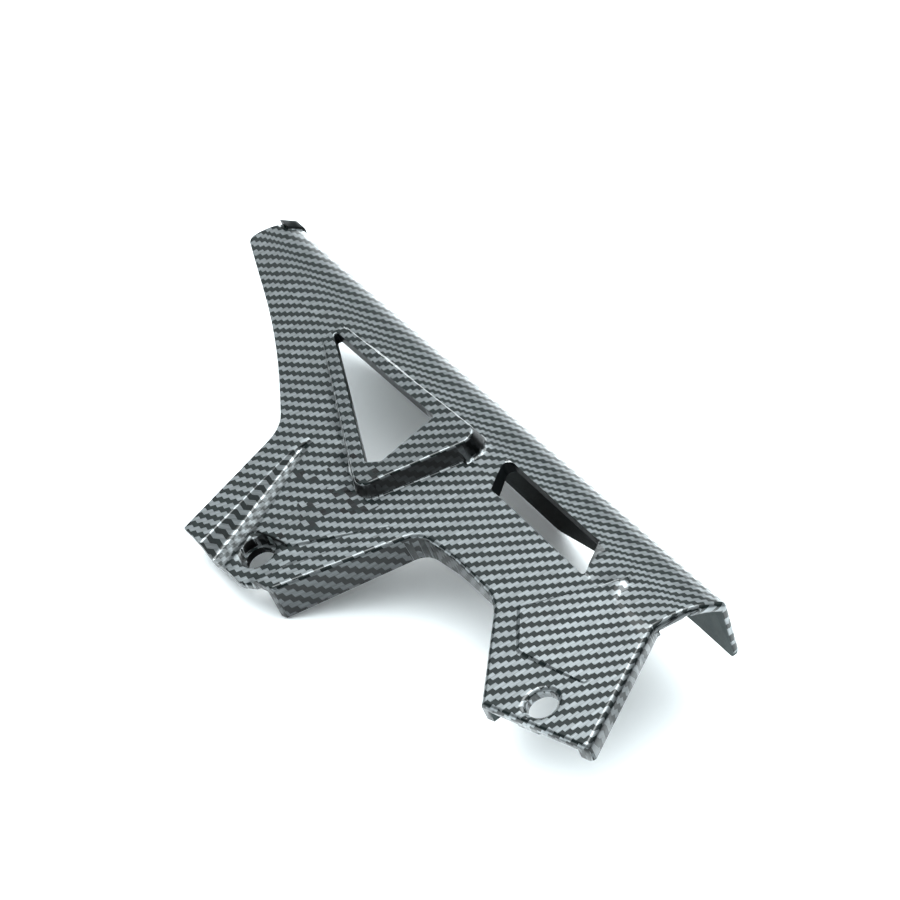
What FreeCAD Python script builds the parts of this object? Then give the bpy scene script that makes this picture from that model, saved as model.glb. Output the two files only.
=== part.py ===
import FreeCAD, Part
import math
import os
import re
import Sketcher

# Motorcycle chain guard: one injection-moulded shell.
# Design frame: X runs along the crest from the front end to the rear end, Y points up
# the side panel, Z is the outward normal of the panel. The panel's outer face is Z = 0.
# Plan places are given as a station along the crest and a drop down the panel from the
# crest corner, so that Y = -drop.

doc = FreeCAD.newDocument("chain_guard_model")
sheet = doc.addObject("Spreadsheet::Sheet", "sizes")

SIZES = {
    # Moulded wall and its softened edges
    "wall": 2.5,
    "fold_round": 1.6,
    "frame_round": 1.1,
    "window_edge_round": 0.5,
    "rim_edge_round": 0.5,
    # Section across the crest
    "band_drop": 23.7,
    "bend_drop": 8.1,
    "bend_fall": 3.5,
    "crest_fall": 10.8,
    "flange_lean": 0.08,
    "band_round": 40,
    "bend_round": 34,
    "crest_round": 2,
    # Lower edge of the far flange, as depth below the panel face
    "flange_front_depth": 31,
    "flange_deep": 52.3,
    "flange_front_end": 46,
    "flange_step_start": 168,
    "flange_step_end": 195,
    "flange_step_depth": 43.9,
    "flange_rear_start": 250,
    "flange_rear_depth": 32.4,
    "flange_corner_round": 3,
    # Plan outline
    "crest_length": 276,
    "nose_square": 8,
    "nose_x": 3.2,
    "nose_drop": 19.7,
    "nose_round": 6,
    "brow_x": 65.7,
    "brow_drop": 40,
    "brow_round": 360,
    "waist_x": 105.5,
    "waist_drop": 60.7,
    "waist_round": 16,
    "tab_front_x": 120,
    "tab_end_drop": 107,
    "tab_toe_x": 156.5,
    "tab_toe_drop": 104.6,
    "tab_step_x": 161.5,
    "tab_step_drop": 101,
    "tab_rear_x": 169.4,
    "tab_rear_drop": 98.8,
    "tab_round": 0.8,
    "toe_round": 4,
    "arch_front_x": 186.6,
    "arch_front_drop": 53,
    "arch_front_round": 9,
    "arch_top_x": 205,
    "arch_drop": 50.6,
    "arch_top_round": 60,
    "arch_rear_x": 229.2,
    "arch_rear_round": 18,
    "hook_x": 260.9,
    "hook_drop": 75.6,
    "heel_reach": 22.8,
    "heel_drop": 62.3,
    "heel_round": 1.6,
    "rear_edge_round": 3,
    # Depth of the turned-down edge along the arch and the rear edge
    "skirt_tip_depth": 14,
    "skirt_leg_x": 178,
    "skirt_leg_depth": 11.6,
    "skirt_arch_depth": 9.8,
    "skirt_rear_x": 238,
    "skirt_rear_depth": 6.4,
    "hook_depth": 6.8,
    "rear_lip_depth": 4.6,
    "heel_lip_depth": 6.2,
    # Where the hollow stays open past the turned-down edge
    "open_tab_x": 166.5,
    "open_heel_reach": 18.5,
    "open_heel_rise": 3.8,
    "open_crest_inset": 5,
    "open_crest_drop": 22.5,
    # Raised frame round the triangular window
    "frame_nose_x": 76,
    "frame_nose_drop": 27.9,
    "frame_top_x": 80.5,
    "frame_top_drop": 19.8,
    "frame_rear_x": 172.4,
    "frame_rear_drop": 17.3,
    "frame_toe_x": 158.6,
    "frame_toe_drop": 58.2,
    "frame_nose_round": 4,
    "frame_rear_round": 5,
    "frame_front_rise": 0.3,
    "frame_rear_rise": 5.9,
    "frame_draft": 17,
    # Triangular window
    "window_nose_x": 76.7,
    "window_nose_drop": 23.4,
    "window_top_x": 150.6,
    "window_top_drop": 23.1,
    "window_rear_x": 154,
    "window_rear_margin": 12.1,
    "window_toe_x": 149.8,
    "window_toe_margin": 8.3,
    "window_nose_round": 0.9,
    "window_round": 1.6,
    "collar_wall": 1.8,
    "collar_top": 1.25,
    "collar_depth": 4.5,
    # Rectangular window
    "slot_front_x": 178.7,
    "slot_rear_x": 233.2,
    "slot_top_drop": 14.8,
    "slot_toe_front_x": 189.3,
    "slot_toe_rear_x": 243.6,
    "slot_toe_drop": 26.7,
    "slot_round": 2.2,
    "slot_corner_round": 0.9,
    "slot_collar_depth": 6.25,
    # Gutter pressed into the front tab
    "gutter_tip_x": 119.1,
    "gutter_tip_drop": 56.5,
    "gutter_run_x": 112.7,
    "gutter_run_drop": 42.5,
    "gutter_floor_x": 137,
    "gutter_depth": 5,
    "gutter_front_spread": 11,
    "gutter_rear_spread": 30,
    "gutter_floor_round": 2.2,
    # Valley that sinks the front bolt hole
    "valley_depth": 3,
    "valley_tip_x": 186.5,
    "valley_tip_drop": 43,
    "valley_front_x": 141,
    "valley_head_drop": 90.5,
    "valley_shoulder_x": 157,
    "valley_shoulder_drop": 86,
    "valley_rear_x": 162,
    "valley_rear_drop": 91,
    "valley_mouth_x": 156,
    "valley_draft": 52,
    "valley_round": 2.5,
    "valley_tip_round": 1.25,
    "valley_wall_spread": 1.25,
    # Low raised facet above the rear bolt hole
    "facet_front_x": 239.4,
    "facet_front_drop": 47.2,
    "facet_toe_x": 253.3,
    "facet_toe_drop": 56.5,
    "facet_rear_x": 279.2,
    "facet_rear_drop": 49.2,
    "facet_top_x": 253.7,
    "facet_top_drop": 20.2,
    "facet_rise": 0.25,
    "facet_tilt": 1,
    "facet_draft": 60,
    "facet_round": 1.5,
    # Bolt holes
    "bolt_hole": 9.6,
    "spot_face": 12.8,
    "spot_depth": 0.8,
    "boss_wall": 2.2,
    "front_hole_x": 149.8,
    "front_hole_drop": 94.2,
    "rear_hole_inset": 1.6,
    "rear_hole_drop": 62.6,
    "rear_dish": 12.8,
    "rear_dish_depth": 0.9,
    # Raised rim round the front end of the crest
    "rim_ahead": 2,
    "rim_length": 6,
    "rim_proud": 0.9,
    "rim_drop": 5,
    "rim_top_depth": 5.4,
    "rim_corner_depth": 10.35,
    "rim_depth": 28,
    # Room that the cutting shapes take beyond the shell
    "spare": 12,
    "deep_spare": 75,
}

for row, (alias, value) in enumerate(SIZES.items(), start=1):
    sheet.set(f"A{row}", alias)
    sheet.set(f"B{row}", str(value))
    sheet.setAlias(f"B{row}", alias)
doc.recompute()

WORD = re.compile(r"[a-z]+(?:_[a-z]+)+|wall|spare")


def bound(text):
    """Point every size named in the text at its cell in the sheet."""
    return WORD.sub(lambda found: "sizes." + found.group(0), str(text))


def number(text):
    """Value of an expression in the sheet's sizes."""
    return float(sheet.evalExpression(bound(text)))


def turned(axis, angle):
    return FreeCAD.Rotation(FreeCAD.Vector(*axis), angle)


PLAN = turned((0, 0, 1), 0)
SIDE = turned((1, 0, 0), 90)
SECTION = turned((1, 1, 1), 120)


def rounded_corner(before, corner, after, radius):
    """Arc of the given radius that rounds the corner between two straight sides."""
    to_before = (before - corner).normalize()
    to_after = (after - corner).normalize()
    half = to_before.getAngle(to_after) / 2
    reach = radius / math.tan(half)
    start = corner + to_before * reach
    end = corner + to_after * reach
    middle_line = (to_before + to_after).normalize()
    centre = corner + middle_line * (radius / math.sin(half))
    middle = centre - middle_line * radius
    return Part.Arc(start, middle, end), start, end


def outline(name, corners, rotation=PLAN, base=(0, 0, 0)):
    """Closed sketch through the corners, each given as x, y and a rounding radius or None."""
    sketch = doc.addObject("Sketcher::SketchObject", name)
    sketch.Placement = FreeCAD.Placement(FreeCAD.Vector(0, 0, 0), rotation)
    for axis, text in zip("xyz", base):
        sketch.setExpression("Placement.Base." + axis, bound(text))
    count = len(corners)
    places = [FreeCAD.Vector(number(x), number(y), 0) for x, y, radius in corners]
    arcs = []
    for i, (x, y, radius) in enumerate(corners):
        if radius is None:
            arcs.append((None, places[i], places[i]))
        else:
            before, after = places[i - 1], places[(i + 1) % count]
            arcs.append(rounded_corner(before, places[i], after, number(radius)))
    for i in range(count):
        sketch.addGeometry(Part.LineSegment(arcs[i][2], arcs[(i + 1) % count][1]))
    for i, (x, y, radius) in enumerate(corners):
        point = sketch.addGeometry(Part.Point(places[i]), True)
        for kind, text, value in (("DistanceX", x, places[i].x), ("DistanceY", y, places[i].y)):
            index = sketch.addConstraint(Sketcher.Constraint(kind, -1, 1, point, 1, value))
            sketch.renameConstraint(index, f"corner_{kind}_{i}")
            sketch.setExpression(f"Constraints.corner_{kind}_{i}", bound(text))
        side_in, side_out = (i - 1) % count, i
        if radius is None:
            sketch.addConstraint(Sketcher.Constraint("Coincident", side_in, 2, point, 1))
            sketch.addConstraint(Sketcher.Constraint("Coincident", side_out, 1, point, 1))
            continue
        curve, start, end = arcs[i]
        arc = sketch.addGeometry(curve)
        first, last = 1, 2
        if (sketch.getPoint(arc, first) - start).Length > (sketch.getPoint(arc, last) - start).Length:
            first, last = last, first
        sketch.addConstraint(Sketcher.Constraint("Tangent", side_in, 2, arc, first))
        sketch.addConstraint(Sketcher.Constraint("Tangent", side_out, 1, arc, last))
        sketch.addConstraint(Sketcher.Constraint("PointOnObject", point, 1, side_in))
        sketch.addConstraint(Sketcher.Constraint("PointOnObject", point, 1, side_out))
        index = sketch.addConstraint(Sketcher.Constraint("Radius", arc, number(radius)))
        sketch.renameConstraint(index, f"round_{i}")
        sketch.setExpression(f"Constraints.round_{i}", bound(radius))
    return sketch


def offset(name, source, distance):
    """Outline grown by the distance, or shrunk where it is negative."""
    grown = doc.addObject("Part::Offset2D", name)
    grown.Source = source
    grown.Join = "Intersection"
    grown.setExpression("Value", bound(distance))
    return grown


def prism(name, profile, ahead, behind="0", draft_ahead="0", draft_behind="0"):
    """Solid pushed out of a closed outline along its normal, and backwards too."""
    block = doc.addObject("Part::Extrusion", name)
    block.Base = profile
    block.DirMode = "Normal"
    block.Solid = True
    block.setExpression("LengthFwd", bound(ahead))
    block.setExpression("LengthRev", bound(behind))
    block.setExpression("TaperAngle", bound(draft_ahead))
    block.setExpression("TaperAngleRev", bound(draft_behind))
    return block


def slanted_prism(name, profile, ahead, behind, direction):
    """Solid pushed out of a closed outline along a direction given as three expressions."""
    block = doc.addObject("Part::Extrusion", name)
    block.Base = profile
    block.DirMode = "Custom"
    block.Solid = True
    for axis, text in zip("xyz", direction):
        block.setExpression("Dir." + axis, bound(text))
    block.setExpression("LengthFwd", bound(ahead))
    block.setExpression("LengthRev", bound(behind))
    return block


def cylinder(name, x, drop, radius, bottom, height, top_radius=None):
    """Upright round tool, or a cone where its top has a radius of its own."""
    kind = "Part::Cylinder" if top_radius is None else "Part::Cone"
    tool = doc.addObject(kind, name)
    if top_radius is None:
        tool.setExpression("Radius", bound(radius))
    else:
        tool.setExpression("Radius1", bound(radius))
        tool.setExpression("Radius2", bound(top_radius))
    tool.setExpression("Height", bound(height))
    tool.setExpression("Placement.Base.x", bound(x))
    tool.setExpression("Placement.Base.y", bound(f"-{drop}"))
    tool.setExpression("Placement.Base.z", bound(bottom))
    return tool


def joined(name, *pieces):
    fuse = doc.addObject("Part::MultiFuse", name)
    fuse.Shapes = list(pieces)
    return fuse


def shared(name, first, second):
    common = doc.addObject("Part::Common", name)
    common.Base = first
    common.Tool = second
    return common


def cut(name, base, *tools):
    """Base with every tool taken out of it."""
    tool = tools[0] if len(tools) == 1 else joined(name + "_tools", *tools)
    result = doc.addObject("Part::Cut", name)
    result.Base = base
    result.Tool = tool
    return result


# Outside form: everything under the outer face, cut to the plan outline
BAR_LENGTH = "spare + crest_length + heel_reach + spare"
section = outline("section", [
    ("-tab_end_drop - spare", "0", None),
    ("-band_drop", "0", "band_round"),
    ("-bend_drop", "-bend_fall", "bend_round"),
    ("0", "-crest_fall", "crest_round"),
    ("-flange_lean * (deep_spare - crest_fall)", "-deep_spare", None),
    ("-tab_end_drop - spare", "-deep_spare", None),
], SECTION, ("-spare", "0", "0"))
plan = outline("plan_outline", [
    ("0", "spare", None),
    ("0", "-nose_square", None),
    ("nose_x", "-nose_drop", "nose_round"),
    ("brow_x", "-brow_drop", "brow_round"),
    ("waist_x", "-waist_drop", "waist_round"),
    ("tab_front_x", "-tab_end_drop", "tab_round"),
    ("tab_toe_x", "-tab_toe_drop", "toe_round"),
    ("tab_step_x", "-tab_step_drop", "toe_round"),
    ("tab_rear_x", "-tab_rear_drop", None),
    ("arch_front_x", "-arch_front_drop", "arch_front_round"),
    ("arch_top_x", "-arch_drop", "arch_top_round"),
    ("arch_rear_x", "-arch_drop", "arch_rear_round"),
    ("hook_x", "-hook_drop", None),
    ("crest_length + heel_reach", "-heel_drop", "heel_round"),
    ("crest_length", "-band_drop", "rear_edge_round"),
    ("crest_length", "spare", None),
])
outside = shared("outside_block",
                 prism("outside_bar", section, BAR_LENGTH),
                 prism("plan_block", plan, "spare", "deep_spare"))

# Inside form: the same shape one wall in, left open where the edge isn't turned down
inner_plan = prism("inner_plan_block", offset("inner_plan", plan, "-wall"), "spare", "deep_spare")
front_open = outline("front_opening", [
    ("-spare", "spare", None),
    ("-spare", "-tab_end_drop - spare", None),
    ("open_tab_x", "-tab_end_drop - spare", None),
    ("open_tab_x", "spare", None),
])
rear_open = outline("rear_opening", [
    ("hook_x + wall", "-arch_drop", None),
    ("hook_x + wall", "-hook_drop - spare", None),
    ("crest_length + open_heel_reach", "-hook_drop - spare", None),
    ("crest_length + open_heel_reach", "-heel_drop + open_heel_rise", None),
])
crest_open = outline("crest_opening", [
    ("crest_length - open_crest_inset", "spare", None),
    ("crest_length - open_crest_inset", "-open_crest_drop", None),
    ("crest_length + spare", "-open_crest_drop", None),
    ("crest_length + spare", "spare", None),
])
open_plan = joined("open_plan", inner_plan,
                   prism("front_open_block", front_open, "spare", "deep_spare"),
                   prism("rear_open_block", rear_open, "spare", "deep_spare"),
                   prism("crest_open_block", crest_open, "spare", "deep_spare"))
inside_bar = slanted_prism("inside_bar", offset("inner_section", section, "-wall"),
                           BAR_LENGTH, "0", ("1", "0", "0"))
inside = shared("inside_block", inside_bar, open_plan)

# Raised frame round the triangular window, on a plane that climbs to the rear
CLIMB = "atan((frame_rear_rise - frame_front_rise) / (frame_rear_x - frame_nose_x))"


def frame_sketch(name, drop_below):
    sketch = outline(name, [
        ("0", "-frame_nose_drop", "frame_nose_round"),
        ("frame_toe_x - frame_nose_x", "-frame_toe_drop", "frame_rear_round"),
        ("frame_rear_x - frame_nose_x", "-frame_rear_drop", "frame_rear_round"),
        ("frame_top_x - frame_nose_x", "-frame_top_drop", "frame_nose_round"),
    ], turned((0, -1, 0), number(CLIMB)), ("frame_nose_x", "0", f"frame_front_rise - {drop_below}"))
    sketch.setExpression("Placement.Rotation.Angle", bound(CLIMB))
    return sketch


frame_outer = prism("frame_block", frame_sketch("frame_top", "0"), "0", "spare", "0", "frame_draft")
frame_inner = prism("frame_core", offset("frame_inner_top", frame_sketch("frame_ceiling", "wall"), "-wall"),
                    "0", "spare", "0", "frame_draft")

# Low facet above the rear bolt hole, tilted up from its rear side
hinge_x = number("facet_top_x - facet_rear_x")
hinge_y = number("facet_rear_drop - facet_top_drop")
facet_sketch = outline("facet_top", [
    ("0", "0", "facet_round"),
    ("facet_top_x - facet_rear_x", "facet_rear_drop - facet_top_drop", None),
    ("facet_front_x - facet_rear_x", "facet_rear_drop - facet_front_drop", None),
    ("facet_toe_x - facet_rear_x", "facet_rear_drop - facet_toe_drop", "facet_round"),
], turned((hinge_x, hinge_y, 0), number("facet_tilt")), ("facet_rear_x", "-facet_rear_drop", "facet_rise"))
facet_sketch.setExpression("Placement.Rotation.Angle", bound("facet_tilt"))
facet = prism("facet_block", facet_sketch, "0", "wall / 2", "0", "facet_draft")

# Gutter: a V with a round floor that gets shallower towards a point past its blunt tip.
# Its spreads are measured as high above the panel as its floor lies below it
GUTTER_RUN = ("(gutter_run_x - gutter_floor_x)", "(tab_end_drop - gutter_run_drop)", "gutter_depth")
gutter_length = "sqrt({0} * {0} + {1} * {1} + {2} * {2})".format(*GUTTER_RUN)
gutter_section = outline("gutter_section", [
    ("gutter_floor_x", "-gutter_depth", "gutter_floor_round"),
    ("gutter_floor_x + gutter_rear_spread", "gutter_depth", None),
    ("gutter_floor_x - gutter_front_spread", "gutter_depth", None),
], SIDE, ("0", "-tab_end_drop", "0"))
gutter_plan = outline("gutter_plan", [
    ("gutter_tip_x", "-gutter_tip_drop", None),
    ("gutter_tip_x", "-tab_end_drop - spare", None),
    ("gutter_floor_x + gutter_rear_spread", "-tab_end_drop - spare", None),
    ("gutter_floor_x + gutter_rear_spread", "-gutter_tip_drop", None),
])
gutter = shared("gutter", slanted_prism("gutter_block", gutter_section, gutter_length, "spare", GUTTER_RUN),
                prism("gutter_keep", gutter_plan, "spare", "spare"))
gutter_wall = slanted_prism("gutter_wall", offset("gutter_wall_section", gutter_section, "wall"),
                            gutter_length, "spare", GUTTER_RUN)

# Valley with sloped sides that sinks the front bolt hole and runs out above the arch
valley_x = "(valley_tip_x - front_hole_x)"
valley_y = "(front_hole_drop - valley_tip_drop)"
valley_reach = "sqrt({0} * {0} + {1} * {1})".format(valley_x, valley_y)
valley_slope = "atan(valley_depth / {0})".format(valley_reach)


def valley_sketch(name, drop_below):
    dx, dy = number(valley_x), number(valley_y)
    sketch = outline(name, [
        ("0", "0", "valley_tip_round"),
        ("valley_shoulder_x - valley_tip_x", "valley_tip_drop - valley_shoulder_drop", "valley_round"),
        ("valley_front_x - valley_tip_x", "valley_tip_drop - valley_head_drop", "valley_round"),
        ("valley_front_x - valley_tip_x", "valley_tip_drop - tab_end_drop - spare", None),
        ("valley_mouth_x - valley_tip_x", "valley_tip_drop - tab_end_drop - spare", None),
        ("valley_rear_x - valley_tip_x", "valley_tip_drop - valley_rear_drop", "valley_round"),
    ], turned((dy, dx, 0), number(valley_slope)), ("valley_tip_x", "-valley_tip_drop", f"-{drop_below}"))
    sketch.setExpression("Placement.Rotation.Angle", bound(valley_slope))
    return sketch


valley = prism("valley_block", valley_sketch("valley_floor", "0"), "spare", "0", "valley_draft")
valley_wall = prism("valley_wall", offset("valley_wall_floor", valley_sketch("valley_underside", "wall"),
                                          "valley_wall_spread"),
                    "spare", "0", "valley_draft")

# Bolt holes, with a spot face at the front one. The rear dish is a cone that is as wide
# as its size says where it meets the panel's face
REAR_HOLE_X = "crest_length - rear_hole_inset"
bore_height = "deep_spare + spare"
front_bore = cylinder("front_bore", "front_hole_x", "front_hole_drop", "bolt_hole / 2",
                      "-deep_spare", bore_height)
front_face = cylinder("front_spot_face", "front_hole_x", "front_hole_drop", "spot_face / 2",
                      "-valley_depth - spot_depth", "spare")
front_boss = cylinder("front_boss", "front_hole_x", "front_hole_drop", "spot_face / 2 + boss_wall",
                      "-valley_depth - spot_depth - wall", "spare")
rear_bore = cylinder("rear_bore", REAR_HOLE_X, "rear_hole_drop", "bolt_hole / 2",
                     "-deep_spare", bore_height)
rear_dish = cylinder("rear_dish", REAR_HOLE_X, "rear_hole_drop", "bolt_hole / 2",
                     "-rear_dish_depth", "rear_dish_depth * 2", "rear_dish - bolt_hole / 2")
rear_boss = cylinder("rear_boss", REAR_HOLE_X, "rear_hole_drop", "spot_face / 2 + boss_wall",
                     "-rear_dish_depth - wall", "spare")

# Windows with an inner collar
window_sketch = outline("window", [
    ("window_nose_x", "-window_nose_drop", "window_nose_round"),
    ("window_toe_x", "-frame_toe_drop + window_toe_margin", "window_round"),
    ("window_rear_x", "-frame_toe_drop + window_rear_margin", "window_round"),
    ("window_top_x", "-window_top_drop", "window_round"),
], PLAN, ("0", "0", "frame_rear_rise"))
slot_sketch = outline("slot", [
    ("slot_front_x", "-slot_top_drop", "slot_round"),
    ("slot_toe_front_x", "-slot_toe_drop", "slot_corner_round"),
    ("slot_toe_rear_x", "-slot_toe_drop", "slot_corner_round"),
    ("slot_rear_x", "-slot_top_drop", "slot_corner_round"),
])
window = prism("window_block", window_sketch, "spare", "deep_spare")
slot = prism("slot_block", slot_sketch, "spare", "deep_spare")
window_collar_outline = offset("window_collar_outline", window_sketch, "collar_wall")
window_collar_plan = prism("window_collar_plan", window_collar_outline, "spare", "deep_spare")
window_collar_side = outline("window_collar_side", [
    ("frame_nose_x - spare", "-collar_depth", None),
    ("frame_nose_x", "frame_front_rise - collar_depth", None),
    ("frame_rear_x", "frame_rear_rise - collar_depth", None),
    ("frame_rear_x", "frame_rear_rise - collar_top", None),
    ("frame_nose_x", "frame_front_rise - collar_top", None),
    ("frame_nose_x - spare", "-collar_top", None),
], SIDE, ("0", "-crest_fall", "0"))
window_collar = shared("window_collar", window_collar_plan,
                       prism("window_collar_slab", window_collar_side, "tab_end_drop"))
slot_collar_block = prism("slot_collar_block", offset("slot_collar_outline", slot_sketch, "collar_wall"),
                          "0", "slot_collar_depth")
slot_collar = shared("slot_collar", slot_collar_block, outside)

# Rim round the front end of the crest
rim_section = outline("rim_section", [
    ("-rim_drop", "-rim_top_depth", None),
    ("rim_proud", "-rim_corner_depth", "crest_round"),
    ("rim_proud - flange_lean * (rim_depth - crest_fall)", "-rim_depth", None),
    ("-wall - flange_lean * (rim_depth - crest_fall)", "-rim_depth", None),
    ("-rim_drop", "-crest_fall - wall", None),
], SECTION, ("-rim_ahead", "0", "0"))
rim = prism("rim_block", rim_section, "rim_length")

# Side views of what is trimmed off below the far flange and below the turned-down edge
flange_trim_side = outline("flange_trim_side", [
    ("-spare", "-flange_front_depth", None),
    ("0", "-flange_front_depth", "spare"),
    ("flange_front_end", "-flange_deep", "deep_spare"),
    ("flange_step_start", "-flange_deep", "spare"),
    ("flange_step_end", "-flange_step_depth", "deep_spare"),
    ("flange_rear_start", "-flange_rear_depth", "deep_spare"),
    ("crest_length", "-flange_rear_depth", "flange_corner_round"),
    ("crest_length", "-crest_fall - spare", None),
    ("crest_length + spare", "-crest_fall - spare", None),
    ("crest_length + spare", "-deep_spare - spare", None),
    ("-spare", "-deep_spare - spare", None),
], SIDE, ("0", "spare", "0"))
flange_trim = prism("flange_trim", flange_trim_side, "spare + spare")
skirt_trim_side = outline("skirt_trim_side", [
    ("-spare", "-skirt_tip_depth", None),
    ("tab_rear_x - wall", "-skirt_tip_depth", None),
    ("skirt_leg_x", "-skirt_leg_depth", "deep_spare"),
    ("arch_front_x", "-skirt_arch_depth", "spare"),
    ("skirt_rear_x", "-skirt_rear_depth", "deep_spare"),
    ("hook_x", "-hook_depth", None),
    ("hook_x + wall", "-hook_depth", None),
    ("hook_x + wall", "-rear_lip_depth", None),
    ("crest_length", "-rear_lip_depth", None),
    ("crest_length + heel_reach", "-heel_lip_depth", None),
    ("crest_length + heel_reach + spare", "-heel_lip_depth", None),
    ("crest_length + heel_reach + spare", "-deep_spare - spare", None),
    ("-spare", "-deep_spare - spare", None),
], SIDE, ("0", "-spare", "0"))
skirt_trim = prism("skirt_trim", skirt_trim_side, "tab_end_drop + spare")

outer_form = cut("outer_form", joined("outer_raised", outside, frame_outer, facet, rim),
                 gutter, shared("valley_cut", valley, prism("valley_keep", plan, "spare", "spare")))
inner_form = cut("inner_form", joined("inner_raised", inside, frame_inner),
                 gutter_wall, valley_wall, front_boss, rear_boss)
shell = cut("shell", outer_form, inner_form, flange_trim, skirt_trim)
collared = joined("collared_shell", shell, window_collar, slot_collar)
guard_shape = cut("guard_shape", collared, window, slot, front_bore, front_face, rear_bore, rear_dish)

doc.recompute()

# The finished piece: the moulded shape with its folds and edges rounded
guard = doc.addObject("PartDesign::Body", "chain_guard")
guard.Label = "chain_guard"
guard.BaseFeature = guard_shape
doc.recompute()

# Greatest distance of an edge from a face that it lies on, and the steps it is tried at
TOUCH = 0.02
SAMPLES = 6


def points_along(edge):
    first, last = edge.ParameterRange
    return [edge.valueAt(first + (last - first) * i / SAMPLES) for i in range(SAMPLES + 1)]


def on_panel_outline(edge):
    """True for an edge in the panel's outer face that follows the plan outline."""
    for point in points_along(edge):
        foot = Part.Vertex(FreeCAD.Vector(point.x, point.y, 0))
        if abs(point.z) > TOUCH or plan.Shape.distToShape(foot)[0] > TOUCH:
            return False
    return True


def is_fold(edge):
    """True where the panel turns down along the arch or along the rear edge."""
    middle = points_along(edge)[SAMPLES // 2]
    on_arch = number("tab_rear_x") < middle.x < number("hook_x") and -middle.y > number("arch_drop - wall")
    on_rear = middle.x > number("crest_length") and -middle.y < number("heel_drop - heel_round / 2")
    return on_panel_outline(edge) and (on_arch or on_rear)


def on_frame_top(edge):
    """True for an edge in the raised frame's sloping top face."""
    climb = math.tan(math.radians(number(CLIMB)))
    for point in points_along(edge):
        top = number("frame_front_rise") + climb * (point.x - number("frame_nose_x"))
        if abs(point.z - top) > TOUCH or point.z < number("frame_front_rise"):
            return False
    return True


def is_window_rim(edge):
    """True where the frame's top face meets the walls of the triangular window."""
    feet = [Part.Vertex(FreeCAD.Vector(point.x, point.y, window_sketch.Placement.Base.z))
            for point in points_along(edge)]
    return on_frame_top(edge) and all(window_sketch.Shape.distToShape(foot)[0] < TOUCH for foot in feet)


def is_frame_rim(edge):
    """True for the outer edge of the raised frame."""
    return on_frame_top(edge) and not is_window_rim(edge)


def is_front_edge(edge):
    """True for the bare edge along the front of the panel."""
    middle = points_along(edge)[SAMPLES // 2]
    return on_panel_outline(edge) and middle.x < number("tab_front_x - tab_round")


def rounding(name, test, radius):
    """Round the edges of the body's last shape that pass the test."""
    before = guard.Tip
    names = [f"Edge{i}" for i, edge in enumerate(before.Shape.Edges, start=1) if test(edge)]
    fillet = guard.newObject("PartDesign::Fillet", name)
    fillet.Base = (before, names)
    fillet.setExpression("Radius", bound(radius))
    doc.recompute()


rounding("fold_rounding", is_fold, "fold_round")
rounding("window_rounding", is_window_rim, "window_edge_round")
rounding("frame_rounding", is_frame_rim, "frame_round")
rounding("front_edge_rounding", is_front_edge, "rim_edge_round")

# At rest the guard leans on the turned-down tip of the front tab and on the lower
# edge of the far flange; the origin is at the bottom centre of the resting piece
flange_foot = "flange_lean * (flange_deep - crest_fall) + wall"
rest_tilt = number(f"atan((flange_deep - skirt_tip_depth) / (tab_rear_drop - ({flange_foot})))")
tilted = guard.Shape.copy()
tilted.rotate(FreeCAD.Vector(0, 0, 0), FreeCAD.Vector(1, 0, 0), rest_tilt)
box = tilted.optimalBoundingBox()
guard.Placement = FreeCAD.Placement(
    FreeCAD.Vector(-(box.XMin + box.XMax) / 2, -(box.YMin + box.YMax) / 2, -box.ZMin),
    turned((1, 0, 0), rest_tilt))
doc.recompute()

for item in doc.Objects:
    if "Invalid" in item.State or "Error" in item.State:
        raise ValueError(f"{item.Name} failed: {item.State}")
if guard.Shape.isNull() or not guard.Shape.isValid() or len(guard.Shape.Solids) != 1:
    raise ValueError("the guard is not one valid solid")

os.makedirs("parts", exist_ok=True)
guard.Shape.exportStep(f"parts/{guard.Label}.step")
final = guard.Shape.optimalBoundingBox()
print(guard.Label, "volume", round(guard.Shape.Volume), "mm3, tilt", round(rest_tilt, 2),
      "degrees, box", [round(size, 2) for size in (final.XLength, final.YLength, final.ZLength)])
print("placement", guard.Placement)
for bore in (front_bore, rear_bore):
    place = FreeCAD.Vector(bore.Placement.Base.x, bore.Placement.Base.y, 0)
    print(bore.Label, [round(value, 3) for value in guard.Placement.multVec(place)])
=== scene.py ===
# %% [markdown]
# A motorcycle chain guard is one moulded plastic shell. It is dipped in a film that carries a
# woven carbon pattern, and then gets a thick gloss lacquer. This lesson dresses the packed
# model: it wraps the woven film round the shell, leaves the hollow side bare, and sets up a
# table, a light and a camera as in a small product studio.

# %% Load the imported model
import bpy
import math
import numpy as np
from mathutils import Matrix, Vector
from mathutils.bvhtree import BVHTree


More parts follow.
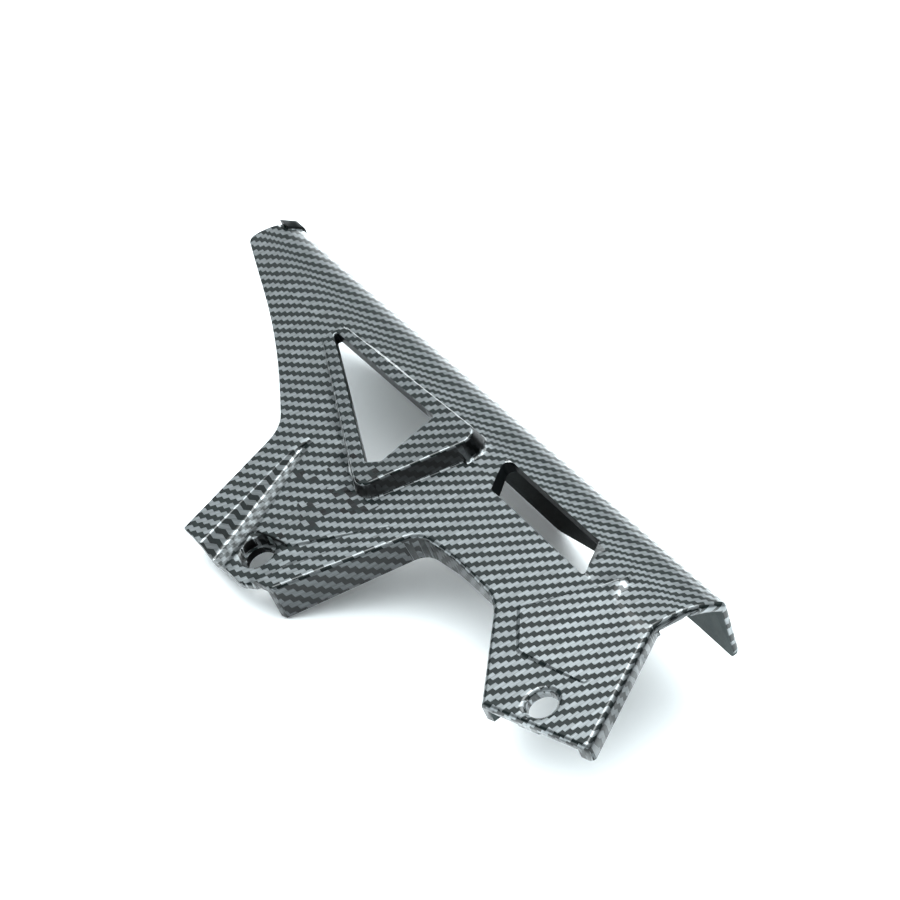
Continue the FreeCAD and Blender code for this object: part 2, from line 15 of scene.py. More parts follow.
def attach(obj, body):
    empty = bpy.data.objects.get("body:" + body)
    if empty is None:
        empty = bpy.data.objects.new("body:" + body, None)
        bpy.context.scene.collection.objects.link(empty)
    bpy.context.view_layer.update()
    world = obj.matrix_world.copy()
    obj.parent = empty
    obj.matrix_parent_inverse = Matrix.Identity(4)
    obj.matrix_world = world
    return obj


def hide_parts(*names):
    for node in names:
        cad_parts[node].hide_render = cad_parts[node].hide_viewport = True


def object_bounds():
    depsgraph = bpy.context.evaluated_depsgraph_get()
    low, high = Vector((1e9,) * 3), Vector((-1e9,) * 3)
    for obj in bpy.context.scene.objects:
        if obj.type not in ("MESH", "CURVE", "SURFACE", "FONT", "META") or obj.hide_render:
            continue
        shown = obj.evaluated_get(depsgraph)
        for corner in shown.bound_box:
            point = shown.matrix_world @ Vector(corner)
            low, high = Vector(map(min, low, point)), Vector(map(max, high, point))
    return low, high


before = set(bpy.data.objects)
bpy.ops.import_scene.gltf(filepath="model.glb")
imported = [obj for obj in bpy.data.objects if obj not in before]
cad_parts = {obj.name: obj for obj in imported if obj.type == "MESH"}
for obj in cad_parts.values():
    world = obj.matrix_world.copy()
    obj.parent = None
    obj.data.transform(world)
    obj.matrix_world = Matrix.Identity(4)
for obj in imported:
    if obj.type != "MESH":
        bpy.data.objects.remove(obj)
cad_low, cad_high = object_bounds()
print("model box", [round(v, 4) for v in (*cad_low, *cad_high)])

# %% [markdown]
# The camera comes first, because everything else is judged through it. It stands nearly a
# metre away with a long lens, to the right of the guard's rear end and about a third of the
# way up. A camera's matrix holds three directions: right, up and backwards.

# %% Camera
CAMERA_AIM = Vector((-0.0426, 0.04985, -0.0006))
CAMERA_DISTANCE = 0.9
CAMERA_AZIMUTH = math.radians(60.16)
CAMERA_ELEVATION = math.radians(31.83)
CAMERA_ROLL = math.radians(0.46)
SENSOR_WIDTH = 36.0
LENS = 103.64

flat_reach = math.cos(CAMERA_ELEVATION)
backwards = Vector((math.sin(CAMERA_AZIMUTH) * flat_reach,
                    -math.cos(CAMERA_AZIMUTH) * flat_reach,
                    math.sin(CAMERA_ELEVATION)))
level_right = Vector((math.cos(CAMERA_AZIMUTH), math.sin(CAMERA_AZIMUTH), 0))
right = Matrix.Rotation(CAMERA_ROLL, 3, backwards) @ level_right
up = backwards.cross(right)
bpy.ops.object.camera_add(location=CAMERA_AIM + backwards * CAMERA_DISTANCE)
camera = bpy.context.active_object
camera.name = "camera"
camera.rotation_euler = Matrix((right, up, backwards)).transposed().to_euler()
camera.data.sensor_width = SENSOR_WIDTH
camera.data.lens = LENS
bpy.context.scene.camera = camera
print("camera at", [round(v, 3) for v in camera.location])

# %% [markdown]
# The shell itself keeps its modelled shape. To lay a film on it we need a mesh that we may
# cut and map, so a copy of the model's mesh stands in for it. The copy is loose triangles,
# so its doubled points are merged first.

# %% Copy the shell
MERGE_DISTANCE = 0.000002


def only(piece):
    """Select one object alone and make it the active one."""
    bpy.ops.object.select_all(action="DESELECT")
    piece.select_set(True)
    bpy.context.view_layer.objects.active = piece


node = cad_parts["chain_guard"]
shell = bpy.data.objects.new("guard_shell", node.data.copy())
bpy.context.scene.collection.objects.link(shell)
shell.data.materials.clear()
only(shell)
bpy.ops.object.mode_set(mode="EDIT")
bpy.ops.mesh.select_all(action="SELECT")
bpy.ops.mesh.remove_doubles(threshold=MERGE_DISTANCE)
bpy.ops.object.mode_set(mode="OBJECT")
print("shell has", len(shell.data.polygons), "faces")

# %% [markdown]
# The guard lies tilted on the table, but its film was laid along its own panel. These
# helpers turn a place on the table into the panel's own terms: the station along the crest,
# the drop down the panel from the crest, and the height above the panel's face.

# %% Panel coordinates
REST_TILT = math.radians(22.3876)
CREST_FRONT = Vector((-0.148016, 0.0411357, 0.0508823))
TO_PANEL = Matrix.Rotation(-REST_TILT, 3, "X")
PANEL_X = TO_PANEL.transposed() @ Vector((1, 0, 0))
PANEL_Y = TO_PANEL.transposed() @ Vector((0, 1, 0))
PANEL_Z = TO_PANEL.transposed() @ Vector((0, 0, 1))


def panel_places(points):
    """Rows of station, drop and height above the panel, in metres."""
    turned = (points - np.array(CREST_FRONT)) @ np.array(TO_PANEL).T
    return turned * np.array((1, -1, 1))


# %% [markdown]
# A mould leaves no knife edges. Where the panel's face meets the gutter, the valley, the
# frame and the slot, the model has plain corners, and a gloss surface shows a bright line
# along each such corner only if it is a little round. The flat faces are first joined up
# again, and then the edges at the gutter, the valley and the frame alone are bevelled,
# while the slot keeps its plain corners.

# %% Soften the creases
FLAT_ANGLE = math.radians(0.2)
CREASE_ANGLE = math.radians(10)
CREASE_WIDTH = 0.0005
CREASE_STEPS = 3
IN_FACE = 0.00004
FACE_START = 0.0237
FRAME_FOOT_START, FRAME_FOOT_DROP = 0.1585, 0.0625
REAR_TAB_START = 0.2360
SLOT_REACH, SLOT_TOP, SLOT_FOOT = (0.1750, 0.2450), 0.012, 0.036
SLOT_FRONT_END = 0.1900
FACET_STEP = (0.0472, 0.0572)
FACET_STEP_END = 0.2540

bpy.ops.object.mode_set(mode="EDIT")
bpy.ops.mesh.select_all(action="SELECT")
bpy.ops.mesh.dissolve_limited(angle_limit=FLAT_ANGLE)
bpy.ops.mesh.select_mode(type="EDGE")
bpy.ops.mesh.select_all(action="DESELECT")
bpy.ops.mesh.edges_select_sharp(sharpness=CREASE_ANGLE)
bpy.ops.object.mode_set(mode="OBJECT")
places = panel_places(np.array([tuple(v.co) for v in shell.data.vertices]))


def is_crease(edge):
    """True for an edge in the panel's flat face that the mould rounds off."""
    ends = places[list(edge.vertices)]
    station, drop, height = ends.mean(axis=0)
    in_face = abs(ends[:, 2]).max() < IN_FACE and drop > FACE_START
    beside_frame = station < FRAME_FOOT_START and drop < FRAME_FOOT_DROP
    on_rear_tab = station > REAR_TAB_START and not FACET_STEP[0] < drop < FACET_STEP[1]
    past_step = station > FACET_STEP_END
    round_slot = SLOT_REACH[0] < station < SLOT_REACH[1] and drop < SLOT_FOOT
    plain = beside_frame or on_rear_tab or past_step or round_slot
    return in_face and not plain


for face in shell.data.polygons:
    face.select = False
for edge in shell.data.edges:
    edge.select = edge.select and is_crease(edge)
print("creases", sum(edge.select for edge in shell.data.edges))
bpy.ops.object.mode_set(mode="EDIT")
bpy.ops.mesh.bevel(offset=CREASE_WIDTH, segments=CREASE_STEPS, affect="EDGES", clamp_overlap=False)
bpy.ops.mesh.select_mode(type="VERT")
bpy.ops.object.mode_set(mode="OBJECT")

# %% [markdown]
# The film was stretched as it was pulled over the shell, so its threads are wider apart at
# one end than at the other. A map can only follow such a stretch if the mesh has points
# often enough, and the flat panel is a few long triangles. Bisect slices the mesh along
# evenly spaced planes without changing its shape.

# %% Slice the shell into a grid
GRID_STEP = 0.006
PANEL_DEPTH = 0.110


def slices(axis, start, end):
    count = int((end - start) / GRID_STEP)
    for i in range(1, count):
        bpy.ops.mesh.select_all(action="SELECT")
        bpy.ops.mesh.bisect(plane_co=CREST_FRONT + axis * (start + i * GRID_STEP),
                            plane_no=axis, threshold=MERGE_DISTANCE)


only(shell)
bpy.ops.object.mode_set(mode="EDIT")
slices(PANEL_X, 0, cad_high.x - cad_low.x)
slices(PANEL_Y, -PANEL_DEPTH, GRID_STEP)
bpy.ops.object.mode_set(mode="OBJECT")
print("sliced shell has", len(shell.data.polygons), "faces")

# %% [markdown]
# Shading is smooth over the small folds and crisp at true corners. A weighted normal
# modifier lets the large flat faces win at each edge, so that the flats mirror the room
# without waves and only the folds bend the reflection.

# %% Smooth shading
CORNER_ANGLE = math.radians(50)
FACET_ANGLE = math.radians(6)
FACET_RISE = 0.0015

only(shell)
bpy.ops.object.shade_smooth_by_angle(angle=CORNER_ANGLE)
bpy.ops.object.mode_set(mode="EDIT")
bpy.ops.mesh.select_mode(type="EDGE")
bpy.ops.mesh.select_all(action="DESELECT")
bpy.ops.mesh.edges_select_sharp(sharpness=FACET_ANGLE)
bpy.ops.object.mode_set(mode="OBJECT")
places = panel_places(np.array([tuple(v.co) for v in shell.data.vertices]))


def is_plain_edge(edge):
    """True for an edge of the low rear facet, or of the slanted window's front wall."""
    station, drop, height = places[list(edge.vertices)].mean(axis=0)
    on_facet = (station > REAR_TAB_START and FACE_START < drop < FACET_STEP[1]
                and abs(height) < FACET_RISE)
    at_slot = SLOT_REACH[0] < station < SLOT_FRONT_END and SLOT_TOP < drop < SLOT_FOOT
    return on_facet or at_slot


for face in shell.data.polygons:
    face.select = False
for edge in shell.data.edges:
    edge.select = edge.select and is_plain_edge(edge)
print("plain edges", sum(edge.select for edge in shell.data.edges))
bpy.ops.object.mode_set(mode="EDIT")
bpy.ops.mesh.mark_sharp()
bpy.ops.mesh.select_mode(type="VERT")
bpy.ops.object.mode_set(mode="OBJECT")
bpy.ops.object.modifier_add(type="WEIGHTED_NORMAL")
shell.modifiers[-1].keep_sharp = True
shell.modifiers[-1].weight = 90
bpy.ops.object.modifier_apply(modifier=shell.modifiers[-1].name)

# %% [markdown]
# Only the outer side gets the film. A face is outside when a line drawn straight up from
# it, away from the panel, leaves the shell without meeting it again. The walls of the
# windows also see up and out, but a line drawn level from them meets a wall in every
# direction, and the film never reached down there. The bolt holes, with the dish and the
# recess round them, keep the film.

# %% Find the bare faces
TOUCH = 0.00005
STEEP = 0.3
SHALLOW = 0.001
WINDOW_REACH = 0.09
LEVEL_DIRECTIONS = 12
FAR = 0.5
FLANGE_DROP = 0.0081
TONGUE_END, TONGUE_DROP, TONGUE_FOOT = 0.0041, 0.0051, -0.0125
REAR_HOLE, REAR_DISH = (0.2744, 0.0626), 0.011
FRONT_HOLE, FRONT_RECESS = (0.1498, 0.0942), 0.0105

tree = BVHTree.FromPolygons([v.co for v in shell.data.vertices],
                            [p.vertices for p in shell.data.polygons])


def meets(place, direction):
    return tree.ray_cast(place, direction, FAR)[0] is not None


FILM, HOLLOW, WALL = 0, 1, 2


def kind_of(face):
    """Film, hollow underside, or black paint for a window's wall or the crest's front end."""
    place = face.center + face.normal * TOUCH
    station, drop, height = panel_places(np.array(place))
    # The front end of the crest is given the black paint, so it shows dark.
    if station < TONGUE_END and drop < TONGUE_DROP and height > TONGUE_FOOT:
        return WALL
    if face.normal.dot(PANEL_Y) > STEEP and drop < FLANGE_DROP and not meets(place, face.normal):
        return FILM
    in_slot = SLOT_REACH[0] < station < SLOT_FRONT_END and SLOT_TOP < drop < SLOT_FOOT
    if in_slot and face.normal.dot(PANEL_X) > STEEP and not meets(place, PANEL_Z):
        return WALL
    if abs(face.normal.dot(PANEL_Z)) < STEEP:
        level = place + PANEL_Z * SHALLOW
        turns = [2 * math.pi * i / LEVEL_DIRECTIONS for i in range(LEVEL_DIRECTIONS)]
        near = all(tree.ray_cast(level, PANEL_X * math.cos(t) + PANEL_Y * math.sin(t), WINDOW_REACH)[0]
                   for t in turns)
        if near and not meets(place, PANEL_Z):
            in_rear_hole = math.hypot(station - REAR_HOLE[0], drop - REAR_HOLE[1]) < REAR_DISH
            in_front_hole = math.hypot(station - FRONT_HOLE[0], drop - FRONT_HOLE[1]) < FRONT_RECESS
            return FILM if in_rear_hole or in_front_hole else WALL
    return HOLLOW if meets(place, PANEL_Z) else FILM


kinds = [kind_of(face) for face in shell.data.polygons]
print("film, hollow and wall faces", [kinds.count(k) for k in (FILM, HOLLOW, WALL)])

# %% [markdown]
# The film's map counts threads. One number grows along the guard, the other down the panel.
# Round the crest the second number follows the bend by its length, and down a turned edge it
# goes on past the fold, stretched. The map is written by formula, so it is smooth
# everywhere. Three more values are kept at each corner of each face: how far the print is
# darkened on the turned walls and in the front bolt recess, partly for the film thinned by
# stretching and partly as painted shade; how near it is to the wrinkles that the gutter
# leaves in the film, where painted shade marks dents; and a painted shade for the bare
# plastic near the slanted window.

# %% Lay the film
BAND_DROP, BEND_DROP, BEND_FALL, CREST_FALL = 0.0237, 0.0081, 0.0035, 0.0108
BAND_ARC = math.hypot(BAND_DROP - BEND_DROP, BEND_FALL)
CREST_ARC = math.hypot(BEND_DROP, CREST_FALL - BEND_FALL)
EDGE_STRETCH = 0.85
EDGE_STEEP = (0.75, 0.95)
RECESS_STEEP = (0.15, 0.45)
FILM_UNIT = 0.1
FRONT_SLACK = 10.0
FRONT_REACH = 0.45
FRAME_FRONT, FRAME_FRONT_RISE, FRAME_CLIMB = 0.0760, 0.0003, 0.05809
RAISED = 0.0002
# Painted shade with thinned film: how far the turned walls of the skirts and the frame are darkened.
SKIRT_FADE_AND_SHADE, FRAME_FADE_AND_SHADE = 0.65, 0.98
WRINKLE_PLACE, WRINKLE_REACH = (0.150, 0.066), 0.030
GUTTER_END, GUTTER_FOOT = 0.145, 0.104
# Where the bare plastic under the crest gets a painted shade, near the slanted window.
SLOT_SHADE_PLACE, SLOT_SHADE_REACH = (0.182, 0.012), 0.050


def bend_length(depth):
    """Length round the bend from the flat panel to a place at this depth."""
    stations = [0, BEND_FALL, CREST_FALL, CREST_FALL + FILM_UNIT]
    lengths = [0, BAND_ARC, BAND_ARC + CREST_ARC, BAND_ARC + CREST_ARC + FILM_UNIT]
    return np.interp(depth, stations, lengths)


def thread_counts(station, drop):
    """Threads counted along the guard and down the panel."""
    x, s = station / FILM_UNIT, drop / FILM_UNIT
    along = (46.7 * x + 3.6 * x**2 + 0.9 * x**3 - 12.5 * s + 29.6 * s**2 - 1.7 * s**3
             + 22.8 * x * s - 5.1 * x**2 * s - 12.7 * x * s**2)
    down = (78.0 * s - 8.8 * s**2 + 4.5 * s**3 - 4.6 * x + 2.4 * x**2 - 0.2 * x**3
            - 9.8 * x * s + 2.3 * x**2 * s - 1.9 * x * s**2)
    front_slack = FRONT_SLACK * s * np.exp(-(x / FRONT_REACH)**2)
    return along - front_slack, down - front_slack


mesh = shell.data
corner_count = len(mesh.loops)
corner_points = np.empty(corner_count, dtype=np.int32)
mesh.loops.foreach_get("vertex_index", corner_points)
points = np.empty(len(mesh.vertices) * 3)
mesh.vertices.foreach_get("co", points)
normals = np.array([tuple(n.vector) for n in mesh.corner_normals]) @ np.array(TO_PANEL).T
station, drop, height = panel_places(points.reshape(-1, 3))[corner_points].T
depth = np.maximum(-height, 0)
raised = height > RAISED
frame_top = FRAME_FRONT_RISE + FRAME_CLIMB * (station - FRAME_FRONT)
fall = np.where(raised, np.maximum(frame_top - height, 0), depth)
sideways = np.hypot(normals[:, 0], normals[:, 1])
turned_down = np.clip((sideways - EDGE_STEEP[0]) / (EDGE_STEEP[1] - EDGE_STEEP[0]), 0, 1)
turned_down *= drop > BEND_DROP
# Painted shade: the turned walls are darkened, partly for the film thinned as it stretched and partly for the shade on
# walls that face away from the light.
fade = turned_down * np.where(raised, FRAME_FADE_AND_SHADE, SKIRT_FADE_AND_SHADE)
fade *= np.hypot(station - REAR_HOLE[0], drop - REAR_HOLE[1]) > REAR_DISH
fade *= raised | (station > GUTTER_END) | (drop > GUTTER_FOOT)
# Painted shade in the front bolt recess: its leaning walls are darkened as well.
in_front_hole = np.hypot(station - FRONT_HOLE[0], drop - FRONT_HOLE[1]) < FRONT_RECESS
leaning = np.clip((sideways - RECESS_STEEP[0]) / (RECESS_STEEP[1] - RECESS_STEEP[0]), 0, 1)
fade = np.where(in_front_hole, leaning * FRAME_FADE_AND_SHADE, fade)
off = np.hypot(station - WRINKLE_PLACE[0], drop - WRINKLE_PLACE[1])
wrinkle = np.exp(-(off / WRINKLE_REACH)**2)
# Painted shade on the bare plastic near the slanted window.
off = np.hypot(station - SLOT_SHADE_PLACE[0], drop - SLOT_SHADE_PLACE[1])
slot_shade = np.exp(-(off / SLOT_SHADE_REACH)**4)
for name, values in (("fade", fade), ("wrinkle", wrinkle), ("slot_shade", slot_shade)):
    layer = mesh.attributes.new(name, "FLOAT", "CORNER")
    layer.data.foreach_set("value", values)
station = station + normals[:, 0] * fall * turned_down * EDGE_STRETCH
drop = drop - normals[:, 1] * fall * turned_down * EDGE_STRETCH
round_bend = BAND_DROP - np.maximum(BAND_DROP - drop, bend_length(depth))
drop = np.where(drop < BAND_DROP, round_bend, drop)
film = mesh.uv_layers.new(name="film")
for old in [layer for layer in mesh.uv_layers if layer.name != "film"]:
    mesh.uv_layers.remove(old)
along, down = thread_counts(station, drop)
mesh.uv_layers["film"].data.foreach_set("uv", np.column_stack((along, down)).ravel())
print("threads along", round(float(along.min())), "to", round(float(along.max())))
print("threads down", round(float(down.min())), "to", round(float(down.max())))

# %% [markdown]
# A material is a chain of small sums, and a few helpers keep that readable. Each makes one
# node and joins its inputs, which may be numbers or other nodes' outputs.

# %% Node helpers


def new_group(name, inputs, outputs):
    """Empty node group with named sockets, and its two end nodes."""
    group = bpy.data.node_groups.new(name, "ShaderNodeTree")
    for label, kind in inputs:
        group.interface.new_socket(label, in_out="INPUT", socket_type=kind)
    for label, kind in outputs:
        group.interface.new_socket(label, in_out="OUTPUT", socket_type=kind)
    return group, group.nodes.new("NodeGroupInput"), group.nodes.new("NodeGroupOutput")


def feed(tree, socket, value):
    if isinstance(value, bpy.types.NodeSocket):
        tree.links.new(value, socket)
    else:
        socket.default_value = value


def sum_node(tree, operation, *values):
    node = tree.nodes.new("ShaderNodeMath")
    node.operation = operation
    for socket, value in zip(node.inputs, values):
        feed(tree, socket, value)
    return node.outputs[0]


def mix_node(tree, kind, factor, first, second):
    """Blend of two numbers (FLOAT) or two colours (RGBA)."""
    node = tree.nodes.new("ShaderNodeMix")
    node.data_type = kind
    sockets = [s for s in node.inputs if s.enabled]
    for socket, value in zip(sockets, (factor, first, second)):
        feed(tree, socket, value)
    return next(s for s in node.outputs if s.enabled)


def noise_node(tree, vector, scale, detail=2.0, roughness=0.5):
    node = tree.nodes.new("ShaderNodeTexNoise")
    feed(tree, node.inputs["Vector"], vector)
    node.inputs["Scale"].default_value = scale
    node.inputs["Detail"].default_value = detail
    node.inputs["Roughness"].default_value = roughness
    return node.outputs["Fac"]


def new_material(name):
    material = bpy.data.materials.new(name)
    material.use_nodes = True
    return material, material.node_tree, material.node_tree.nodes["Principled BSDF"]


# %% [markdown]
# In a two by two twill each thread passes over two others and then under two, one step
# further along in each row. Count the threads both ways, take the sum, and wrap it to
# four: two of the four values have one set of threads on top, and two the other. The set
# that runs across the guard is printed in silver and the other in near black.

# %% Twill film group
twill, ins, outs = new_group(
    "twill_film",
    [("Threads", "NodeSocketVector"), ("Silver", "NodeSocketColor"), ("Black", "NodeSocketColor"),
     ("Fade", "NodeSocketFloat"), ("Wrinkle", "NodeSocketFloat")],
    [("Color", "NodeSocketColor"), ("Shine", "NodeSocketFloat"), ("Crown", "NodeSocketFloat")])
split = twill.nodes.new("ShaderNodeSeparateXYZ")
twill.links.new(ins.outputs["Threads"], split.inputs[0])
across, lengthwise = split.outputs["X"], split.outputs["Y"]
across_number = sum_node(twill, "FLOOR", across)
lengthwise_number = sum_node(twill, "FLOOR", lengthwise)
phase = sum_node(twill, "FLOORED_MODULO", sum_node(twill, "ADD", across_number, lengthwise_number), 4.0)
silver_on_top = sum_node(twill, "LESS_THAN", phase, 1.5)
across_middle = sum_node(twill, "PINGPONG", across, 0.5)
lengthwise_middle = sum_node(twill, "PINGPONG", lengthwise, 0.5)
crown = mix_node(twill, "FLOAT", silver_on_top, lengthwise_middle, across_middle)
thread = twill.nodes.new("ShaderNodeCombineXYZ")
twill.links.new(mix_node(twill, "FLOAT", silver_on_top, lengthwise_number, across_number), thread.inputs[0])
twill.links.new(silver_on_top, thread.inputs[1])
white_noise = twill.nodes.new("ShaderNodeTexWhiteNoise")
white_noise.noise_dimensions = "3D"
twill.links.new(thread.outputs[0], white_noise.inputs["Vector"])
fibres_across = twill.nodes.new("ShaderNodeVectorMath")
fibres_across.operation = "MULTIPLY"
twill.links.new(ins.outputs["Threads"], fibres_across.inputs[0])
fibres_across.inputs[1].default_value = (4.5, 0.35, 1.0)
fibres_along = twill.nodes.new("ShaderNodeVectorMath")
fibres_along.operation = "MULTIPLY"
twill.links.new(ins.outputs["Threads"], fibres_along.inputs[0])
fibres_along.inputs[1].default_value = (0.35, 4.5, 1.0)
fibre = mix_node(twill, "FLOAT", silver_on_top,
                 noise_node(twill, fibres_along.outputs[0], 1.0),
                 noise_node(twill, fibres_across.outputs[0], 1.0))
tone = sum_node(twill, "ADD", sum_node(twill, "MULTIPLY", fibre, 1.0),
                sum_node(twill, "MULTIPLY", white_noise.outputs["Value"], 0.22))
tone = sum_node(twill, "ADD", tone, sum_node(twill, "MULTIPLY", crown, 0.4))
tone = sum_node(twill, "ADD", tone, 0.25)
# The print is darkened on turned walls: partly thinned film, partly painted shade.
tone = sum_node(twill, "MULTIPLY", tone, sum_node(twill, "SUBTRACT", 1.0, ins.outputs["Fade"]))
cell = twill.nodes.new("ShaderNodeCombineXYZ")
twill.links.new(sum_node(twill, "FLOOR", sum_node(twill, "MULTIPLY", across, 0.5)), cell.inputs[0])
twill.links.new(lengthwise_number, cell.inputs[1])
cell_noise = twill.nodes.new("ShaderNodeTexWhiteNoise")
cell_noise.noise_dimensions = "3D"
twill.links.new(cell.outputs[0], cell_noise.inputs["Vector"])
# Painted shade: scattered cells near the gutter's wrinkles are darkened almost to black, standing in for dents where
# the coat mirrors less light.
dent_shade = sum_node(twill, "MULTIPLY", ins.outputs["Wrinkle"], noise_node(twill, ins.outputs["Threads"], 0.12))
dent_shade = sum_node(twill, "GREATER_THAN", sum_node(twill, "ADD", cell_noise.outputs["Value"], dent_shade), 1.3)
tone = sum_node(twill, "MULTIPLY", tone, sum_node(twill, "SUBTRACT", 1.0, sum_node(twill, "MULTIPLY", dent_shade, 0.92)))
base = mix_node(twill, "RGBA", silver_on_top, ins.outputs["Black"], ins.outputs["Silver"])
scaled = twill.nodes.new("ShaderNodeVectorMath")
scaled.operation = "SCALE"
twill.links.new(base, scaled.inputs[0])
twill.links.new(tone, scaled.inputs["Scale"])
twill.links.new(scaled.outputs[0], outs.inputs["Color"])
twill.links.new(silver_on_top, outs.inputs["Shine"])
twill.links.new(crown, outs.inputs["Crown"])
print("twill group has", len(twill.nodes), "nodes")

# %% [markdown]
# Lacquered film is two layers: the print, whose silver is part metal and a little rough, and
# over it a clear coat as smooth as glass. The coat is a property of the shader itself, so it
# mirrors the room at every edge while the print below stays soft.

# %% Woven gloss material
woven, tree_nodes, shader = new_material("woven_gloss")
film_map = tree_nodes.nodes.new("ShaderNodeUVMap")
film_map.uv_map = "film"
print_layer = tree_nodes.nodes.new("ShaderNodeGroup")
print_layer.node_tree = twill
tree_nodes.links.new(film_map.outputs[0], print_layer.inputs["Threads"])
stored = {}
for name in ("fade", "wrinkle"):
    stored[name] = tree_nodes.nodes.new("ShaderNodeAttribute")
    stored[name].attribute_name = name
    tree_nodes.links.new(stored[name].outputs["Fac"], print_layer.inputs[name.capitalize()])
print_layer.inputs["Silver"].default_value = (0.222, 0.239, 0.247, 1)
print_layer.inputs["Black"].default_value = (0.005, 0.0085, 0.0085, 1)
tree_nodes.links.new(print_layer.outputs["Color"], shader.inputs["Base Color"])
tree_nodes.links.new(sum_node(tree_nodes, "MULTIPLY", print_layer.outputs["Shine"], 0.85),
                     shader.inputs["Metallic"])
shader.inputs["Roughness"].default_value = 0.38
shader.inputs["Specular IOR Level"].default_value = 0.1
thin_coat = sum_node(tree_nodes, "MULTIPLY", stored["fade"].outputs["Fac"], 1.0)
tree_nodes.links.new(sum_node(tree_nodes, "SUBTRACT", 1.0, thin_coat), shader.inputs["Coat Weight"])
shader.inputs["Coat Roughness"].default_value = 0.03
shader.inputs["Coat IOR"].default_value = 1.5

# %% [markdown]
# The hollow side is bare moulded plastic: dark, dull and finely grained, with faint cloudy
# patches where the melt cooled unevenly. Two scales of noise give the grain and the clouds.
# Under the crest near the slanted window the colour is blended towards near black, a
# painted shade.

# %% Bare plastic material
raw, tree_nodes, shader = new_material("bare_plastic")
coordinates = tree_nodes.nodes.new("ShaderNodeTexCoord")
clouds = noise_node(tree_nodes, coordinates.outputs["Object"], 90.0, 4.0, 0.6)
colour = mix_node(tree_nodes, "RGBA", clouds, (0.035, 0.042, 0.042, 1), (0.1, 0.115, 0.115, 1))
# Painted shade: near the slanted window the bare plastic turns nearly black.
slot_shade = tree_nodes.nodes.new("ShaderNodeAttribute")
slot_shade.attribute_name = "slot_shade"
colour = mix_node(tree_nodes, "RGBA", slot_shade.outputs["Fac"], colour, (0.002, 0.003, 0.003, 1))
tree_nodes.links.new(colour, shader.inputs["Base Color"])
grain = noise_node(tree_nodes, coordinates.outputs["Object"], 1600.0, 2.0, 0.6)
bump = tree_nodes.nodes.new("ShaderNodeBump")
bump.inputs["Strength"].default_value = 0.35
bump.inputs["Distance"].default_value = 0.0003
tree_nodes.links.new(grain, bump.inputs["Height"])
tree_nodes.links.new(bump.outputs[0], shader.inputs["Normal"])
shader.inputs["Roughness"].default_value = 0.5
shader.inputs["Specular IOR Level"].default_value = 0.03

# %% [markdown]
# Under the film the shell has a coat of black paint, and the walls of the windows show it
# bare under the lacquer; the front end of the crest is given it too. It is nearly black,
# with a little orange peel, the fine ripple that sprayed paint dries with.

# %% Black paint material
paint, tree_nodes, shader = new_material("black_paint")
coordinates = tree_nodes.nodes.new("ShaderNodeTexCoord")
mottle = noise_node(tree_nodes, coordinates.outputs["Object"], 250.0, 3.0, 0.6)
colour = mix_node(tree_nodes, "RGBA", mottle, (0.003, 0.0035, 0.004, 1), (0.008, 0.0095, 0.01, 1))
tree_nodes.links.new(colour, shader.inputs["Base Color"])
ripple = noise_node(tree_nodes, coordinates.outputs["Object"], 900.0)
bump = tree_nodes.nodes.new("ShaderNodeBump")
bump.inputs["Strength"].default_value = 0.1
bump.inputs["Distance"].default_value = 0.0002
tree_nodes.links.new(ripple, bump.inputs["Height"])
tree_nodes.links.new(bump.outputs[0], shader.inputs["Normal"])
shader.inputs["Roughness"].default_value = 0.35
shader.inputs["Specular IOR Level"].default_value = 0.05

# %% Give each face its finish
for finish in (woven, raw, paint):
    mesh.materials.append(finish)
mesh.polygons.foreach_set("material_index", kinds)
mesh.update()
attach(shell, "root")
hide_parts("chain_guard")

# %% [markdown]
# The table is a plain white sweep. A camera sees it a little brighter than the light alone
# makes it, so that the open floor is pure white and only the soft shadow shows.

# %% Floor
FLOOR_SIZE = 8.0
FLOOR_GLOW = 0.06

bpy.ops.object.select_all(action="DESELECT")
bpy.ops.mesh.primitive_plane_add(size=FLOOR_SIZE, location=(0, 0, 0))
floor = bpy.context.active_object
floor.name = "floor"
white, tree_nodes, shader = new_material("white_table")
shader.inputs["Base Color"].default_value = (0.93, 0.95, 0.96, 1)
shader.inputs["Roughness"].default_value = 0.9
shader.inputs["Emission Color"].default_value = (1, 1, 1, 1)
path = tree_nodes.nodes.new("ShaderNodeLightPath")
seen = sum_node(tree_nodes, "MAXIMUM", path.outputs["Is Camera Ray"], path.outputs["Is Glossy Ray"])
seen = sum_node(tree_nodes, "MAXIMUM", seen, path.outputs["Is Transmission Ray"])
tree_nodes.links.new(sum_node(tree_nodes, "MULTIPLY", seen, FLOOR_GLOW), shader.inputs["Emission Strength"])
floor.data.materials.append(white)

# %% [markdown]
# The room is a white backdrop behind the table and darkness on the photographer's side,
# which is what makes gloss read as gloss: the crest mirrors the backdrop and the steep
# walls mirror the dark. The world gives that as a blend by direction, seen by mirror rays
# alone. Other rays get a fill that is brightest from above, leaning to one side, and dim
# near the horizon, and the camera sees the world plain white.

# %% World
AWAY = Vector((-backwards.x, -backwards.y, 0)).normalized()
BACKDROP_SIDE = Vector((-0.6, 0.8, 0))
BACKDROP_LIGHT = 3.5
BACKDROP_GLOW = 1.5
CEILING_LIGHT = 0.42
ZENITH_LIGHT = 0.5
FRONT_LIGHT = 0.02
BOX_SIDE = Vector((-0.3, -0.17, 0.94)).normalized()
BOX_LIGHT = 7.0
REAR_BOX_SIDE = Vector((-0.35, 0.45, 0.82)).normalized()
REAR_BOX_LIGHT = 6.0
FILL_SIDE = Vector((-0.4, 0, 0.917))
FILL_BRIGHT = 3.5
FILL_DIM = 0.25

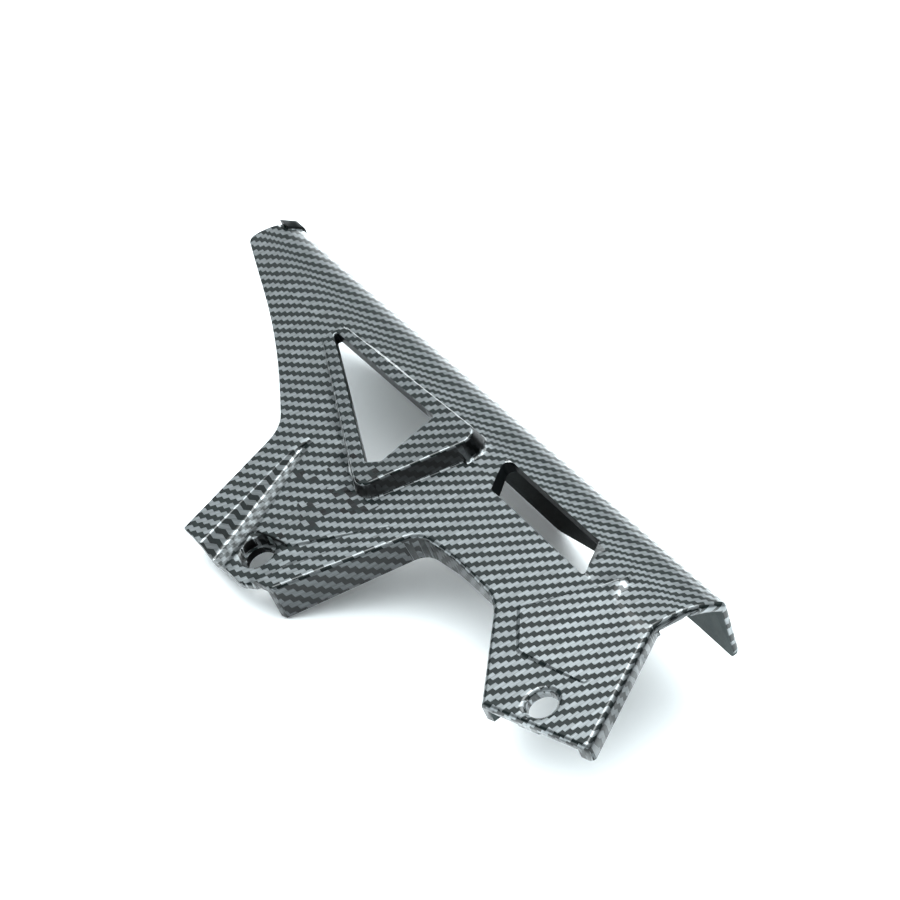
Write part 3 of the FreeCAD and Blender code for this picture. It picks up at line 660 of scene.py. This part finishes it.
world = bpy.data.worlds.new("studio")
bpy.context.scene.world = world
world.use_nodes = True
room = world.node_tree
background = room.nodes["Background"]
direction = room.nodes.new("ShaderNodeTexCoord").outputs["Generated"]


def towards(side):
    """How much a ray points to one side of the room, from -1 to 1."""
    dot = room.nodes.new("ShaderNodeVectorMath")
    dot.operation = "DOT_PRODUCT"
    room.links.new(direction, dot.inputs[0])
    dot.inputs[1].default_value = side
    return dot.outputs["Value"]


def ramp(value, low, high, start, end):
    """Smooth step of a number from one level to another."""
    node = room.nodes.new("ShaderNodeMapRange")
    node.interpolation_type = "SMOOTHSTEP"
    feed(room, node.inputs["Value"], value)
    for label, level in (("From Min", low), ("From Max", high), ("To Min", start), ("To Max", end)):
        node.inputs[label].default_value = level
    return node.outputs["Result"]


room_split = room.nodes.new("ShaderNodeSeparateXYZ")
room.links.new(direction, room_split.inputs[0])
towards_back = sum_node(room, "MULTIPLY", ramp(towards(AWAY), -0.1, 0.45, FRONT_LIGHT, CEILING_LIGHT),
                        ramp(room_split.outputs["Z"], 0.36, 0.58, 0.1, 1.0))
low_down = sum_node(room, "ADD", ramp(room_split.outputs["Z"], 0.09, 0.20, BACKDROP_LIGHT, 0.0),
                    ramp(room_split.outputs["Z"], 0.10, 0.34, BACKDROP_GLOW, 0.0))
overhead = ramp(room_split.outputs["Z"], 0.6, 0.85, 0.0, ZENITH_LIGHT)
backdrop = sum_node(room, "MULTIPLY", low_down, ramp(towards(BACKDROP_SIDE), 0.5, 0.9, 0.0, 1.0))
mirrored = sum_node(room, "ADD", sum_node(room, "ADD", towards_back, backdrop), overhead)
mirrored = sum_node(room, "ADD", mirrored, ramp(towards(BOX_SIDE), 0.945, 0.967, 0.0, BOX_LIGHT))
mirrored = sum_node(room, "ADD", mirrored, ramp(towards(REAR_BOX_SIDE), 0.955, 0.98, 0.0, REAR_BOX_LIGHT))
path = room.nodes.new("ShaderNodeLightPath")
mirror_ray = sum_node(room, "MAXIMUM", path.outputs["Is Glossy Ray"], path.outputs["Is Transmission Ray"])
fill = sum_node(room, "MULTIPLY", ramp(towards(FILL_SIDE), -0.5, 0.9, FILL_DIM, FILL_BRIGHT),
                ramp(room_split.outputs["Z"], 0.0, 0.75, 0.04, 1.0))
level = mix_node(room, "FLOAT", mirror_ray, fill, mirrored)
level = mix_node(room, "FLOAT", path.outputs["Is Camera Ray"], level, 1.0)
room.links.new(level, background.inputs["Strength"])
room.links.new(mix_node(room, "RGBA", path.outputs["Is Camera Ray"], (0.91, 0.98, 1.0, 1), (1, 1, 1, 1)),
               background.inputs["Color"])

# %% [markdown]
# One softbox hangs over the guard, a little behind and to the left. It gives the soft shadow
# under the shell and the crisp white lines where a fold turns towards it.

# %% Softbox
SOFTBOX_SIZE = 0.9
SOFTBOX_PLACE = Vector((-0.25, -0.12, 1.15))
SOFTBOX_POWER = 3.4

bpy.ops.object.light_add(type="AREA", location=SOFTBOX_PLACE)
softbox = bpy.context.active_object
softbox.rotation_euler = SOFTBOX_PLACE.to_track_quat("Z", "Y").to_euler()
softbox.name = "softbox"
softbox.data.shape = "SQUARE"
softbox.data.size = SOFTBOX_SIZE
softbox.data.energy = SOFTBOX_POWER
softbox.data.color = (1.0, 0.99, 0.97)

# %% [markdown]
# The picture's colours are kept plain.

# %% Settle the view
bpy.context.scene.view_settings.view_transform = "Standard"
